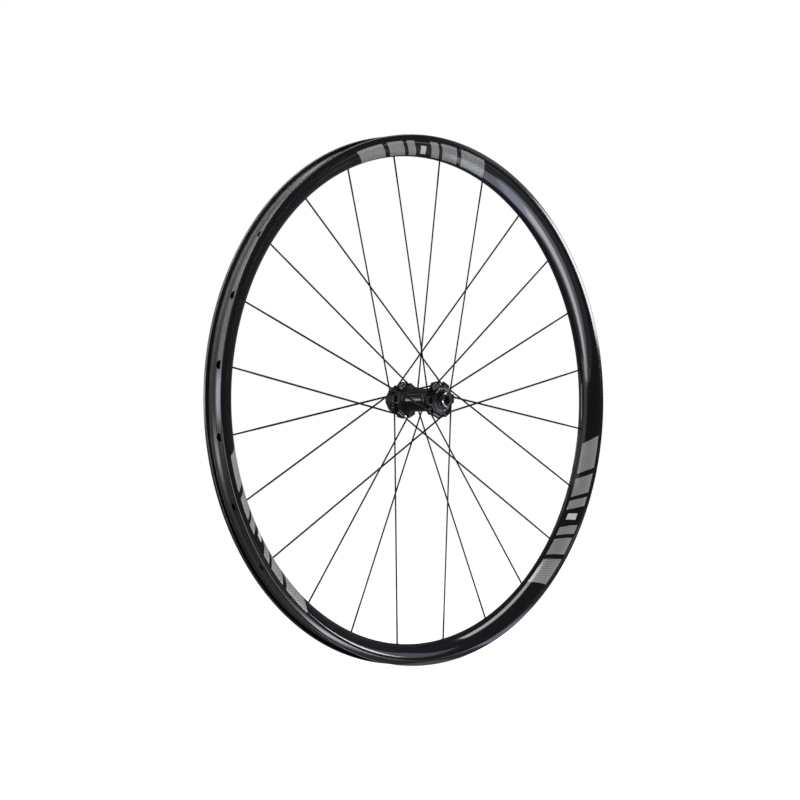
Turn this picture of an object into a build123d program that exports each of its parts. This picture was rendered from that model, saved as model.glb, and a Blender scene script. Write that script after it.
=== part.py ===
from build123d import *
import math
import os

# A front bicycle wheel for a disc brake and a through axle, in millimetres, upright, +Z up.
# Y runs along the axle, with +Y to the disc side, +X forwards, and the origin at the wheel's centre.
# The right flange lies at -Y. Angles round the wheel start at +X and grow towards +Z.

# Rim section
bead_seat_diameter = 622.0
flange_height = 5.5
flange_thickness = 4.5
flange_outer_radius = 1.6
flange_inner_radius = 1.0
outer_round_limit = 0.6
inner_round_limit = 0.35
rim_inner_width = 23.0
rim_depth = 25.0
nose_radius = 8.1
nose_tilt = 30.0
shoulder_radius = 18.0
shoulder_tilt = 60.0
bead_seat_width = 3.8
bead_root_radius = 0.8
bead_lock_height = 0.4
bead_lock_width = 0.9
well_depth = 2.5
well_width = 9.2
spoke_bed_thickness = 2.4
wall_thickness = 1.3
shelf_thickness = 1.5
shelf_corner = 1.5
well_thickness = 1.4

# Rim holes
access_hole_diameter = 10.0
spoke_hole_diameter = 3.0
valve_hole_diameter = 6.5
valve_angle = 270.0
drill_overrun = 2.0

# Spokes
spokes_per_row = 6
spoke_gap_angle = 90.0
spoke_diameter = 2.0
blade_width = 2.3
blade_thickness = 0.95
hub_butt_length = 20.0
rim_butt_length = 26.0
blade_blend_length = 12.0
spoke_head_diameter = 4.0
spoke_head_thickness = 1.0
spoke_neck_length = 0.9

# Nipples, inside the rim
nipple_thread_clearance = 0.06
nipple_seat_gap = 0.3
nipple_seat_diameter = 5.6
nipple_seat_height = 2.4
nipple_dome_height = 1.5
nipple_length = 8.6
nipple_hex_across_flats = 4.8
nipple_spoke_reach = 7.0

# Hub flanges and spoke bosses
boss_circle_radius = 18.55
right_flange_inset = 15.55
left_flange_inset = 25.05
row_offset = 2.2
boss_diameter = 7.0
boss_length = 11.0
boss_chamfer = 1.0
boss_bore_diameter = 2.3
boss_bore_reach = 50.0
head_pocket_diameter = 4.5
head_pocket_depth = 2.0
flange_core_radius = 18.2
flange_core_width = 10.4

# Hub barrel and ends
barrel_radius = 13.8
barrel_flare_length = 12.0
barrel_bore_radius = 11.4
ring_groove_width = 0.9
ring_groove_depth = 0.5
ring_groove_pitch = 2.4
ring_groove_setback = 2.6
ring_groove_count = 2
right_end_radius = 16.0
right_end_reach = 7.6
rotor_seat_radius = 18.6
rotor_seat_reach = 7.2
rotor_seat_thickness = 1.3
spline_tip_radius = 16.9
spline_root_radius = 15.9
spline_length = 7.8
spline_teeth = 36
spline_tooth_share = 0.5
spline_foot_spread = 1.3
spline_foot_depth = 0.5
lockring_bore_radius = 14.5

# Bearings
bearing_bore_radius = 7.5
bearing_outer_radius = 14.0
bearing_width = 7.0
bearing_seat_clearance = 0.02
left_bearing_recess = 5.0
right_bearing_recess = 1.0
ball_diameter = 3.9
ball_count = 11
ball_running_clearance = 0.1
race_land = 1.25
cage_width = 4.4
cage_thickness = 0.9
seal_thickness = 0.6
seal_seat_depth = 0.6
seal_lip_clearance = 0.15
seal_seat_clearance = 0.02

# Axle tube and end caps
over_locknut_width = 100.0
through_bore_radius = 6.05
axle_bore_radius = 6.4
axle_shoulder_radius = 9.0
axle_cap_clearance = 0.03
cap_end_wall = 4.0
cap_end_gap = 0.2
cap_face_radius = 8.8
cap_face_chamfer = 0.9
cap_body_radius = 9.5
cap_skirt_radius = 10.6
cap_skirt_thickness = 1.8
cap_skirt_gap = 0.5
cap_nose_radius = 9.1
o_ring_section = 1.2
o_ring_clearance = 0.03
o_ring_setback = 2.6

# Values that follow from those sizes
seat_radius = bead_seat_diameter / 2
rim_radius = seat_radius + flange_height
bed_radius = rim_radius - rim_depth
half_width = rim_inner_width / 2 + flange_thickness
cavity_floor_radius = bed_radius + spoke_bed_thickness
anchor_radius = bed_radius + spoke_bed_thickness / 2
well_radius = seat_radius - well_depth
spoke_pitch = 360 / (4 * spokes_per_row)
right_flange_offset = over_locknut_width / 2 - right_flange_inset
left_flange_offset = over_locknut_width / 2 - left_flange_inset
right_core = flange_core_width / 2 - right_flange_offset
left_core = left_flange_offset - flange_core_width / 2
flare_rise = flange_core_radius - barrel_radius
flare_radius = (barrel_flare_length**2 + flare_rise**2) / (2 * flare_rise)
left_shell_end = left_flange_offset + rotor_seat_reach + spline_length
right_shell_end = -(right_flange_offset + right_end_reach)
left_bearing_face = left_shell_end - left_bearing_recess
right_bearing_face = right_shell_end + right_bearing_recess
pitch_radius = (bearing_bore_radius + bearing_outer_radius) / 2
inner_land_radius = pitch_radius - race_land
outer_land_radius = pitch_radius + race_land
cap_face = over_locknut_width / 2
axle_end = cap_face - cap_end_wall


def around(radius, angle, y=0.0):
    """A point at an angle round the wheel, at a radius and a place along the axle."""
    turn = math.radians(angle)
    return Vector(radius * math.cos(turn), y, radius * math.sin(turn))


def turned(points):
    """A ring turned about the axle from an outline of (radius, y) points."""
    outline = make_face(Polyline(*points, close=True))
    return revolve(outline, Axis.Y, 360)


def mirrored_face(half_outline):
    """A closed section from its half at positive y, which begins and ends on the middle plane."""
    return make_face(half_outline + mirror(half_outline, Plane.XZ))


# Spoke rows: name, place along the axle, lean of the spoke round the hub, angle of its first rim hole
spoke_rows = [
    ("right_inner", row_offset - right_flange_offset, -1, spoke_gap_angle + 2.5 * spoke_pitch),
    ("left_outer", left_flange_offset + row_offset, 1, spoke_gap_angle + 1.5 * spoke_pitch),
    ("right_outer", -row_offset - right_flange_offset, 1, spoke_gap_angle + 0.5 * spoke_pitch),
    ("left_inner", left_flange_offset - row_offset, -1, spoke_gap_angle - 0.5 * spoke_pitch),
]


def spoke_angles(first):
    """The rim angles of one row's spokes."""
    return [first - 4 * spoke_pitch * n for n in range(spokes_per_row)]


def spoke_plane(y, lean, angle):
    """A plane where the spoke's line touches the boss circle, with its normal along the spoke to the rim."""
    rim_point = around(anchor_radius, angle)
    sweep = math.degrees(math.acos(boss_circle_radius / anchor_radius))
    hub_point = around(boss_circle_radius, angle + lean * sweep, y)
    along = rim_point - hub_point
    return Plane(hub_point, x_dir=Vector(0, 1, 0).cross(along), z_dir=along)


def spoke_span(y):
    """The distance along a spoke from the boss circle to the middle of the spoke bed."""
    return math.sqrt(anchor_radius**2 - boss_circle_radius**2 + y**2)


def bed_step(y):
    """The distance along a spoke from the middle of the spoke bed to the cavity floor."""
    radial_share = (anchor_radius**2 - boss_circle_radius**2) / (anchor_radius * spoke_span(y))
    return (cavity_floor_radius - anchor_radius) / radial_share


head_seat = head_pocket_depth - boss_length / 2
all_spoke_planes = [
    spoke_plane(y, lean, angle) for _, y, lean, first in spoke_rows for angle in spoke_angles(first)
]


def tilted(tilt):
    """The outward direction of the rim's section at a tilt: 0 points to the axle and 90 along it."""
    turn = math.radians(tilt)
    return Vector(-math.cos(turn), math.sin(turn))


def section_arc(centre, radius, first_tilt, last_tilt):
    """An arc of the rim's section about a centre, between two tilts."""
    tilts = (first_tilt, (first_tilt + last_tilt) / 2, last_tilt)
    return ThreePointArc(*(centre + tilted(tilt) * radius for tilt in tilts))


nose_rise = math.sin(math.radians(nose_tilt))
shoulder_rise = math.sin(math.radians(shoulder_tilt))
flank_width = half_width - nose_radius * nose_rise - shoulder_radius * (1 - shoulder_rise)
flank_radius = flank_width / (shoulder_rise - nose_rise)
nose_centre = Vector(bed_radius + nose_radius, 0)
flank_centre = nose_centre - tilted(nose_tilt) * (flank_radius - nose_radius)
shoulder_centre = flank_centre + tilted(shoulder_tilt) * (flank_radius - shoulder_radius)


def rim_outline():
    """Half of the rim's outer section: nose, bowed flank, shoulder, flange, bead seat and well."""
    outer_round = min(flange_outer_radius, outer_round_limit * flange_thickness)
    inner_round = min(flange_inner_radius, inner_round_limit * flange_thickness)
    inner_half = rim_inner_width / 2
    seat_end = inner_half - bead_seat_width
    lock_peak = seat_end - bead_lock_width
    side_top = Vector(rim_radius - outer_round, half_width)
    top_outer = Vector(rim_radius, half_width - outer_round)
    top_inner = Vector(rim_radius, inner_half + inner_round)
    wall_top = Vector(rim_radius - inner_round, inner_half)
    wall_foot = Vector(seat_radius + bead_root_radius, inner_half)
    return Curve() + [
        section_arc(nose_centre, nose_radius, 0, nose_tilt),
        section_arc(flank_centre, flank_radius, nose_tilt, shoulder_tilt),
        section_arc(shoulder_centre, shoulder_radius, shoulder_tilt, 90),
        Line(Vector(shoulder_centre.X, half_width), side_top),
        RadiusArc(side_top, top_outer, outer_round),
        Line(top_outer, top_inner),
        RadiusArc(top_inner, wall_top, inner_round),
        Line(wall_top, wall_foot),
        RadiusArc(wall_foot, Vector(seat_radius, inner_half - bead_root_radius), -bead_root_radius),
        Polyline(
            Vector(seat_radius, inner_half - bead_root_radius),
            Vector(seat_radius, seat_end),
            Vector(seat_radius + bead_lock_height, lock_peak),
            Vector(well_radius, well_width / 2),
            Vector(well_radius, 0),
        ),
    ]


def cavity_outline():
    """Half of the hollow inside the rim: flat floor for the nipples, flank, side, shelf and well underside."""
    flank = flank_radius - wall_thickness
    shoulder = shoulder_radius - wall_thickness
    shelf = seat_radius - shelf_thickness
    roof = well_radius - well_thickness
    floor_tilt = math.degrees(math.acos((flank_centre.X - cavity_floor_radius) / flank))
    shelf_tilt = math.degrees(math.acos((shoulder_centre.X - shelf + shelf_corner) / shoulder))
    floor_corner = flank_centre + tilted(floor_tilt) * flank
    side_top = shoulder_centre + tilted(shelf_tilt) * shoulder
    lock_peak = rim_inner_width / 2 - bead_seat_width - bead_lock_width
    return Curve() + [
        Line(Vector(cavity_floor_radius, 0), floor_corner),
        section_arc(flank_centre, flank, floor_tilt, shoulder_tilt),
        section_arc(shoulder_centre, shoulder, shoulder_tilt, shelf_tilt),
        Polyline(
            side_top,
            Vector(shelf, side_top.Y - shelf_corner),
            Vector(shelf, lock_peak),
            Vector(roof, well_width / 2),
            Vector(roof, 0),
        ),
    ]


def rim():
    """Hollow moulded rim with its spoke, access and valve holes."""
    body = revolve(mirrored_face(rim_outline()), Axis.Y, 360)
    body -= revolve(mirrored_face(cavity_outline()), Axis.Y, 360)
    spoke_drill = Cylinder(spoke_hole_diameter / 2, spoke_bed_thickness + 2 * drill_overrun)
    access_drill = Cylinder(access_hole_diameter / 2, well_thickness + 2 * drill_overrun)
    valve_drill = Cylinder(valve_hole_diameter / 2, rim_depth + 2 * drill_overrun)
    tools = []
    for _, y, lean, first in spoke_rows:
        for angle in spoke_angles(first):
            bed = Plane(around(anchor_radius, angle), z_dir=spoke_plane(y, lean, angle).z_dir)
            floor = Plane(around(well_radius - well_thickness / 2, angle), z_dir=around(1, angle))
            tools += [bed * spoke_drill, floor * access_drill]
    valve = Plane(around(bed_radius + rim_depth / 2, valve_angle), z_dir=around(1, valve_angle))
    tools.append(valve * valve_drill)
    return body - tools


def spoke(y):
    """One straight-pull spoke along +Z: round at its ends, bladed between, with a head at the hub."""
    tip = spoke_span(y) + bed_step(y) + nipple_seat_gap + nipple_spoke_reach
    blade_end = spoke_span(y) - rim_butt_length
    round_end = Circle(spoke_diameter / 2)
    blade = Ellipse(blade_width / 2, blade_thickness / 2)
    stations = [
        (head_seat, round_end),
        (hub_butt_length, round_end),
        (hub_butt_length + blade_blend_length, blade),
        (blade_end - blade_blend_length, blade),
        (blade_end, round_end),
        (tip, round_end),
    ]
    shank = loft([Pos(0, 0, z) * section for z, section in stations], ruled=True)
    neck = Cone(
        spoke_head_diameter / 2,
        spoke_diameter / 2,
        spoke_neck_length,
        align=(Align.CENTER, Align.CENTER, Align.MAX),
    )
    head = Cylinder(
        spoke_head_diameter / 2, spoke_head_thickness, align=(Align.CENTER, Align.CENTER, Align.MAX)
    )
    return shank + Pos(0, 0, head_seat) * head + Pos(0, 0, head_seat + spoke_neck_length) * neck


def nipple(y):
    """One internal nipple along +Z: a domed seat on the spoke bed's inside and a hexagon above it."""
    base = spoke_span(y) + bed_step(y) + nipple_seat_gap
    collar = nipple_seat_diameter / 2
    bore = spoke_diameter / 2 + nipple_thread_clearance
    foot = (bore + collar) / 2
    dome = RadiusArc(Vector(foot, 0), Vector(collar, nipple_dome_height), -collar)
    outline = dome + Polyline(
        Vector(collar, nipple_dome_height),
        Vector(collar, nipple_seat_height),
        Vector(0, nipple_seat_height),
        Vector(0, 0),
        Vector(foot, 0),
    )
    body = Rot(90, 0, 0) * revolve(make_face(outline), Axis.Y, 360)
    hexagon = RegularPolygon(nipple_hex_across_flats / 2, 6, major_radius=False)
    body += extrude(Pos(0, 0, nipple_seat_height) * hexagon, nipple_length - nipple_seat_height)
    body -= Pos(0, 0, nipple_length / 2) * Cylinder(bore, nipple_length + 2 * drill_overrun)
    return Pos(0, 0, base) * body


def barrel_reach(step):
    """The radius of the barrel's flare, a step along the axle from where it leaves the waist."""
    return barrel_radius + flare_radius - math.sqrt(flare_radius**2 - step**2)


def barrel_flare(core, way):
    """The concave arc from a flange's core down to the barrel's waist, which lies to its left or right."""
    middle = barrel_flare_length / 2
    return ThreePointArc(
        Vector(flange_core_radius, core),
        Vector(barrel_reach(middle), core + way * middle),
        Vector(barrel_radius, core + way * barrel_flare_length),
    )


def hub_outline():
    """The hub's turned outside in (radius, y), from the right end to the left end, closed along the axle."""
    rotor_seat = left_flange_offset + rotor_seat_reach
    right_end = Polyline(
        Vector(0, right_shell_end),
        Vector(right_end_radius, right_shell_end),
        Vector(right_end_radius, right_core - flange_core_width),
        Vector(flange_core_radius, right_core - flange_core_width),
        Vector(flange_core_radius, right_core),
    )
    waist = Line(
        Vector(barrel_radius, right_core + barrel_flare_length),
        Vector(barrel_radius, left_core - barrel_flare_length),
    )
    left_end = Polyline(
        Vector(flange_core_radius, left_core),
        Vector(flange_core_radius, rotor_seat - rotor_seat_thickness),
        Vector(rotor_seat_radius, rotor_seat - rotor_seat_thickness),
        Vector(rotor_seat_radius, rotor_seat),
        Vector(spline_root_radius, rotor_seat),
        Vector(spline_root_radius, left_shell_end),
        Vector(0, left_shell_end),
        Vector(0, right_shell_end),
    )
    return Curve() + [right_end, barrel_flare(right_core, 1), waist, barrel_flare(left_core, -1), left_end]


def hub_bores():
    """The room inside the hub shell for the bearings, the axle tube and the rotor's lockring."""
    right_step = right_bearing_face + bearing_width
    left_step = left_bearing_face - bearing_width
    return turned(
        [
            (0, right_shell_end - drill_overrun),
            (bearing_outer_radius, right_shell_end - drill_overrun),
            (bearing_outer_radius, right_step),
            (barrel_bore_radius, right_step),
            (barrel_bore_radius, left_step),
            (bearing_outer_radius, left_step),
            (bearing_outer_radius, left_bearing_face),
            (lockring_bore_radius, left_bearing_face),
            (lockring_bore_radius, left_shell_end + drill_overrun),
            (0, left_shell_end + drill_overrun),
        ]
    )


def ring_groove(number):
    """One of the fine grooves turned round the flare beside the right flange."""
    start = ring_groove_setback + ring_groove_pitch * number
    floor = barrel_reach(barrel_flare_length - start - ring_groove_width) - ring_groove_depth
    return turned(
        [
            (floor, right_core + start),
            (rotor_seat_radius, right_core + start),
            (rotor_seat_radius, right_core + start + ring_groove_width),
            (floor, right_core + start + ring_groove_width),
        ]
    )


def boss_drill():
    """What is drilled along one spoke's line: its bore, the countersink and the pocket for its head."""
    seat = Pos(0, 0, head_seat)
    upwards = (Align.CENTER, Align.CENTER, Align.MIN)
    downwards = (Align.CENTER, Align.CENTER, Align.MAX)
    bore = Cylinder(boss_bore_diameter / 2, boss_bore_reach, align=upwards)
    countersink = Cone(spoke_head_diameter / 2, boss_bore_diameter / 2, spoke_neck_length, align=upwards)
    pocket = Cylinder(head_pocket_diameter / 2, boss_length, align=downwards)
    return seat * bore + seat * countersink + seat * pocket


def rotor_spline():
    """The fine splines that a brake rotor slides onto."""
    half_tooth = math.pi * spline_tip_radius / spline_teeth * spline_tooth_share
    foot_radius = spline_root_radius - spline_foot_depth
    tooth = Polygon(
        (foot_radius, -spline_foot_spread * half_tooth),
        (spline_tip_radius, -half_tooth),
        (spline_tip_radius, half_tooth),
        (foot_radius, spline_foot_spread * half_tooth),
        align=None,
    )
    teeth = Sketch() + [Rot(0, 0, 360 / spline_teeth * n) * tooth for n in range(spline_teeth)]
    return Pos(0, left_shell_end, 0) * Rot(90, 0, 0) * extrude(teeth, spline_length)


def hub_shell():
    """One machined shell: barrel, flanges, spoke bosses with their bores, bearing seats and rotor spline."""
    boss = Cylinder(boss_diameter / 2, boss_length)
    boss = chamfer(boss.edges().filter_by(GeomType.CIRCLE), boss_chamfer)
    drill = boss_drill()
    shell = revolve(make_face(hub_outline()), Axis.Y, 360) + rotor_spline()
    shell -= [ring_groove(n) for n in range(ring_groove_count)]
    shell += [plane * boss for plane in all_spoke_planes]
    shell -= hub_bores()
    return shell - [plane * drill for plane in all_spoke_planes]


def bearing_pieces(side, face):
    """One cartridge bearing: its races, balls, cage and two seals. face is its outer end along the axle."""
    inward = -1 if face > 0 else 1
    middle = face + inward * bearing_width / 2
    groove = Pos(0, middle, 0) * Rot(90, 0, 0) * Torus(pitch_radius, ball_diameter / 2 + ball_running_clearance)
    half = bearing_width / 2
    step = half - seal_thickness
    seal_outer = outer_land_radius + seal_seat_depth
    outer = turned(
        [
            (bearing_outer_radius - bearing_seat_clearance, middle - half),
            (bearing_outer_radius - bearing_seat_clearance, middle + half),
            (seal_outer, middle + half),
            (seal_outer, middle + step),
            (outer_land_radius, middle + step),
            (outer_land_radius, middle - step),
            (seal_outer, middle - step),
            (seal_outer, middle - half),
        ]
    )
    inner = turned(
        [
            (bearing_bore_radius + bearing_seat_clearance, middle - half),
            (bearing_bore_radius + bearing_seat_clearance, middle + half),
            (inner_land_radius, middle + half),
            (inner_land_radius, middle - half),
        ]
    )
    spots = [around(pitch_radius, 360 / ball_count * n, middle) for n in range(ball_count)]
    balls = [Pos(*spot) * Sphere(ball_diameter / 2) for spot in spots]
    cage = turned(
        [
            (pitch_radius - cage_thickness / 2, middle - cage_width / 2),
            (pitch_radius + cage_thickness / 2, middle - cage_width / 2),
            (pitch_radius + cage_thickness / 2, middle + cage_width / 2),
            (pitch_radius - cage_thickness / 2, middle + cage_width / 2),
        ]
    )
    pocket = Cylinder(ball_diameter / 2 + ball_running_clearance, cage_thickness + 2 * drill_overrun)
    cage -= [Plane(spot, z_dir=Vector(spot.X, 0, spot.Z)) * pocket for spot in spots]
    nodes = {
        f"{side}_bearing_outer_race": outer - groove,
        f"{side}_bearing_inner_race": inner - groove,
        f"{side}_bearing_balls": Compound(children=balls),
        f"{side}_bearing_cage": cage,
    }
    for place, low in (("outer", face), ("inner", face + inward * bearing_width)):
        high = low + seal_thickness * (inward if place == "outer" else -inward)
        nodes[f"{side}_bearing_{place}_seal"] = turned(
            [
                (inner_land_radius + seal_lip_clearance, low),
                (seal_outer - seal_seat_clearance, low),
                (seal_outer - seal_seat_clearance, high),
                (inner_land_radius + seal_lip_clearance, high),
            ]
        )
    return nodes


def axle_tube():
    """Hollow axle with a shoulder between the two bearings."""
    left_shoulder = left_bearing_face - bearing_width
    right_shoulder = right_bearing_face + bearing_width
    return turned(
        [
            (axle_bore_radius, -axle_end),
            (bearing_bore_radius, -axle_end),
            (bearing_bore_radius, right_shoulder),
            (axle_shoulder_radius, right_shoulder),
            (axle_shoulder_radius, left_shoulder),
            (bearing_bore_radius, left_shoulder),
            (bearing_bore_radius, axle_end),
            (axle_bore_radius, axle_end),
        ]
    )


def end_cap(side, bearing_face, shell_end):
    """One end cap, pushed over the axle tube against the inner race, and the O-ring inside it."""
    way = 1 if shell_end > 0 else -1
    sleeve = bearing_bore_radius + axle_cap_clearance
    skirt = shell_end + way * cap_skirt_gap
    skirt_top = skirt + way * cap_skirt_thickness
    stop = way * (axle_end + cap_end_gap)
    groove_middle = way * (axle_end - o_ring_setback)
    groove_half = o_ring_section / 2 + o_ring_clearance
    groove_radius = bearing_bore_radius + o_ring_section + 2 * o_ring_clearance
    cap = turned(
        [
            (through_bore_radius, way * cap_face),
            (cap_face_radius - cap_face_chamfer, way * cap_face),
            (cap_face_radius, way * (cap_face - cap_face_chamfer)),
            (cap_body_radius, skirt_top),
            (cap_skirt_radius, skirt_top),
            (cap_skirt_radius, skirt),
            (cap_nose_radius, skirt),
            (cap_nose_radius, bearing_face),
            (sleeve, bearing_face),
            (sleeve, groove_middle - way * groove_half),
            (groove_radius, groove_middle - way * groove_half),
            (groove_radius, groove_middle + way * groove_half),
            (sleeve, groove_middle + way * groove_half),
            (sleeve, stop),
            (through_bore_radius, stop),
        ]
    )
    ring_radius = bearing_bore_radius + o_ring_clearance + o_ring_section / 2
    o_ring = Pos(0, groove_middle, 0) * Rot(90, 0, 0) * Torus(ring_radius, o_ring_section / 2)
    return {f"{side}_end_cap": cap, f"{side}_o_ring": o_ring}


def wheel():
    """Every piece of the wheel by its node name."""
    nodes = {"rim": rim(), "hub_shell": hub_shell(), "axle_tube": axle_tube()}
    nipples = []
    for name, y, lean, first in spoke_rows:
        one_spoke = spoke(y)
        one_nipple = nipple(y)
        for number, angle in enumerate(spoke_angles(first), start=1):
            place = spoke_plane(y, lean, angle)
            nodes[f"spoke_{name}_{number}"] = place * one_spoke
            nipples.append(place * one_nipple)
    nodes["nipples"] = Compound(children=nipples)
    nodes |= bearing_pieces("left", left_bearing_face)
    nodes |= bearing_pieces("right", right_bearing_face)
    nodes |= end_cap("left", left_bearing_face, left_shell_end)
    nodes |= end_cap("right", right_bearing_face, right_shell_end)
    return nodes


os.makedirs("parts", exist_ok=True)
for node, solid in wheel().items():
    export_step(solid, f"parts/{node}.step")
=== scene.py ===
"""Looks of a front bicycle wheel with a moulded carbon rim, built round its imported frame, in metres."""

import logging
import math
from dataclasses import dataclass
from enum import Enum
from typing import Any

import bmesh
import bpy
from mathutils import Matrix, Vector


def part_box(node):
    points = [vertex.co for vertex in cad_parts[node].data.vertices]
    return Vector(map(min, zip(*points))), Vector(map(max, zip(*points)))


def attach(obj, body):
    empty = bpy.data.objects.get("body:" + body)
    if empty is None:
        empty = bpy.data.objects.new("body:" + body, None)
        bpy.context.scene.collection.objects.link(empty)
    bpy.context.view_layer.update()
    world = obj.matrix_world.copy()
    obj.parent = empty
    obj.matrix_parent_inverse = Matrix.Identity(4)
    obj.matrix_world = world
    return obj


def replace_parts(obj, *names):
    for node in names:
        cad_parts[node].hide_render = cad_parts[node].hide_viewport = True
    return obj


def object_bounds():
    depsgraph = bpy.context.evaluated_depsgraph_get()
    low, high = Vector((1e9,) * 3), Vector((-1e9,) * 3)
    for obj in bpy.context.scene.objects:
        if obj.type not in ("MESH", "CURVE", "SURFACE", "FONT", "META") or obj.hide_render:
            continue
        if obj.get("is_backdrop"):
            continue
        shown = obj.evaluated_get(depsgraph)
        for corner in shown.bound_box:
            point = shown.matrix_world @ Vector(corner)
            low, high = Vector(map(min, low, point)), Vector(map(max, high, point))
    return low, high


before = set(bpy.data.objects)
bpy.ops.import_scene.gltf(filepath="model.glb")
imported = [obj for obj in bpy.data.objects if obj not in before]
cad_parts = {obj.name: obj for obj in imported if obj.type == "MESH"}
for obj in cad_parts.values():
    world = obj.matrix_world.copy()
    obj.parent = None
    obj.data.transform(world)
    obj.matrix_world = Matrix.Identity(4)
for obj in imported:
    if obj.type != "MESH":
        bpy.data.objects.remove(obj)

LOG = logging.getLogger("wheel")
Colour = tuple[float, float, float]
Place = tuple[float, float, float]
Socket = bpy.types.NodeSocket
TINY = 1e-9
CARD_SHADE = 0.12
WHITE: Colour = (1.0, 1.0, 1.0)
WARM: Colour = (1.0, 0.98, 0.95)
BLUISH: Colour = (0.78, 0.82, 1.0)


class Body(Enum):
    """The body that the new pieces ride on."""

    WHEEL = "wheel"


class Slot(Enum):
    """The names of the record's material slots for the rim and the hub."""

    RIM = "rim_carbon"
    HUB = "hub_black"


class Reach(Enum):
    """Where a lamp's light shows."""

    ALL = "all"
    GLOSS = "gloss"
    MATTE = "matte"


class Kind(Enum):
    """Socket types of node trees."""

    FLOAT = "NodeSocketFloat"
    INT = "NodeSocketInt"
    GEOMETRY = "NodeSocketGeometry"
    MATERIAL = "NodeSocketMaterial"
    OBJECT = "NodeSocketObject"


class Nodes:
    """Short calls for building one node tree.

    A Mix node's value sockets lie at places 2 and 3, and its colour sockets at 6 and 7.
    """

    def __init__(self, tree: bpy.types.NodeTree) -> None:
        """Keeps the tree and empties it."""
        self.tree = tree
        tree.nodes.clear()

    @classmethod
    def of_material(cls, name: str) -> tuple[bpy.types.Material, "Nodes"]:
        """Makes a material.

        Args:
            name: the material's name.

        Returns:
            The material and the calls for its tree.
        """
        made = bpy.data.materials.new(name)
        made.use_nodes = True
        return made, cls(made.node_tree)

    def add(self, kind: str, inputs: dict[str | int, Any] | None = None, **settings: Any) -> bpy.types.Node:
        """Adds one node.

        Args:
            kind: the node's type in Blender.
            inputs: a value, or a socket to link from, for each socket's name or place.
            settings: the node's own properties.

        Returns:
            The new node.
        """
        node = self.tree.nodes.new(kind)
        for name, value in settings.items():
            setattr(node, name, value)
        for key, value in (inputs or {}).items():
            self.feed(node.inputs[key], value)
        return node

    def out(self, kind: str, inputs: dict[str | int, Any] | None = None, **settings: Any) -> Socket:
        """Adds one node and gives its first output."""
        return self.add(kind, inputs, **settings).outputs[0]

    def feed(self, socket: Socket, value: Any) -> None:
        """Feeds a socket.

        Args:
            socket: the socket.
            value: a socket to link from, or a plain value to set.
        """
        if isinstance(value, bpy.types.NodeSocket):
            self.tree.links.new(value, socket)
        else:
            socket.default_value = value

    def math(self, operation: str, *values: Any) -> Socket:
        """Adds one Math node and gives its result."""
        return self.out("ShaderNodeMath", dict(enumerate(values)), operation=operation)

    def join(self, **values: Any) -> Socket:
        """Makes a vector of X, Y and Z values."""
        return self.out("ShaderNodeCombineXYZ", values)

    def ramp(self, value: Socket, low: float, high: float, start: float = 0.0, end: float = 1.0) -> Socket:
        """Maps a value smoothly from the stretch low to high onto the stretch start to end."""
        inputs = {"Value": value, "From Min": low, "From Max": high, "To Min": start, "To Max": end}
        return self.out("ShaderNodeMapRange", inputs, interpolation_type="SMOOTHSTEP")

    def past(self, value: Socket, edge: float, softness: float) -> Socket:
        """Nought up to an edge, and one past it."""
        return self.ramp(value, edge, edge + softness)

    def within(self, value: Socket, edge: float, softness: float) -> Socket:
        """One up to an edge, and nought past it."""
        return self.ramp(value, edge - softness, edge, 1.0, 0.0)

    def mix(self, share: Any, *colours: Any) -> Socket:
        """Mixes two colours, each plain or a socket, by a share."""
        first, second = ((*colour, 1) if isinstance(colour, tuple) else colour for colour in colours)
        return self.add("ShaderNodeMix", {"Factor": share, 6: first, 7: second}, data_type="RGBA").outputs[2]

    def blend(self, share: Socket, first: Socket, second: Socket) -> Socket:
        """Mixes two values by a share."""
        return self.out("ShaderNodeMix", {"Factor": share, 2: first, 3: second}, data_type="FLOAT")

    def entry(self, sockets: dict[str, tuple[Kind, Any]]) -> bpy.types.NodeOutputs:
        """Makes the tree's named inputs.

        Args:
            sockets: each input's type and first value by its name.

        Returns:
            The outputs of the Group Input node.
        """
        for name, (kind, value) in sockets.items():
            item = self.tree.interface.new_socket(name=name, in_out="INPUT", socket_type=kind.value)
            if value is not None:
                item.default_value = value
        return self.add("NodeGroupInput").outputs

    def leave(self, kind: Kind, **sockets: Socket) -> None:
        """Makes the tree's named outputs.

        Args:
            kind: the type of all of them.
            sockets: the socket that each output is linked from, by its name.
        """
        for name in sockets:
            self.tree.interface.new_socket(name=name, in_out="OUTPUT", socket_type=kind.value)
        self.add("NodeGroupOutput", sockets)


class Effect:
    """A shader node group that several finishes share, built once."""

    name = ""

    def tree(self) -> bpy.types.NodeTree:
        """Builds the group the first time.

        Returns:
            The group's tree.
        """
        found = bpy.data.node_groups.get(self.name)
        if found is None:
            found = bpy.data.node_groups.new(self.name, "ShaderNodeTree")
            self.build(Nodes(found))
        return found

    def build(self, nodes: Nodes) -> None:
        """Fills the group's tree."""
        raise NotImplementedError

    def place(self, nodes: Nodes, **values: Any) -> bpy.types.NodeOutputs:
        """Puts the group into another tree and gives its outputs."""
        return nodes.add("ShaderNodeGroup", values, node_tree=self.tree()).outputs


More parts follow.
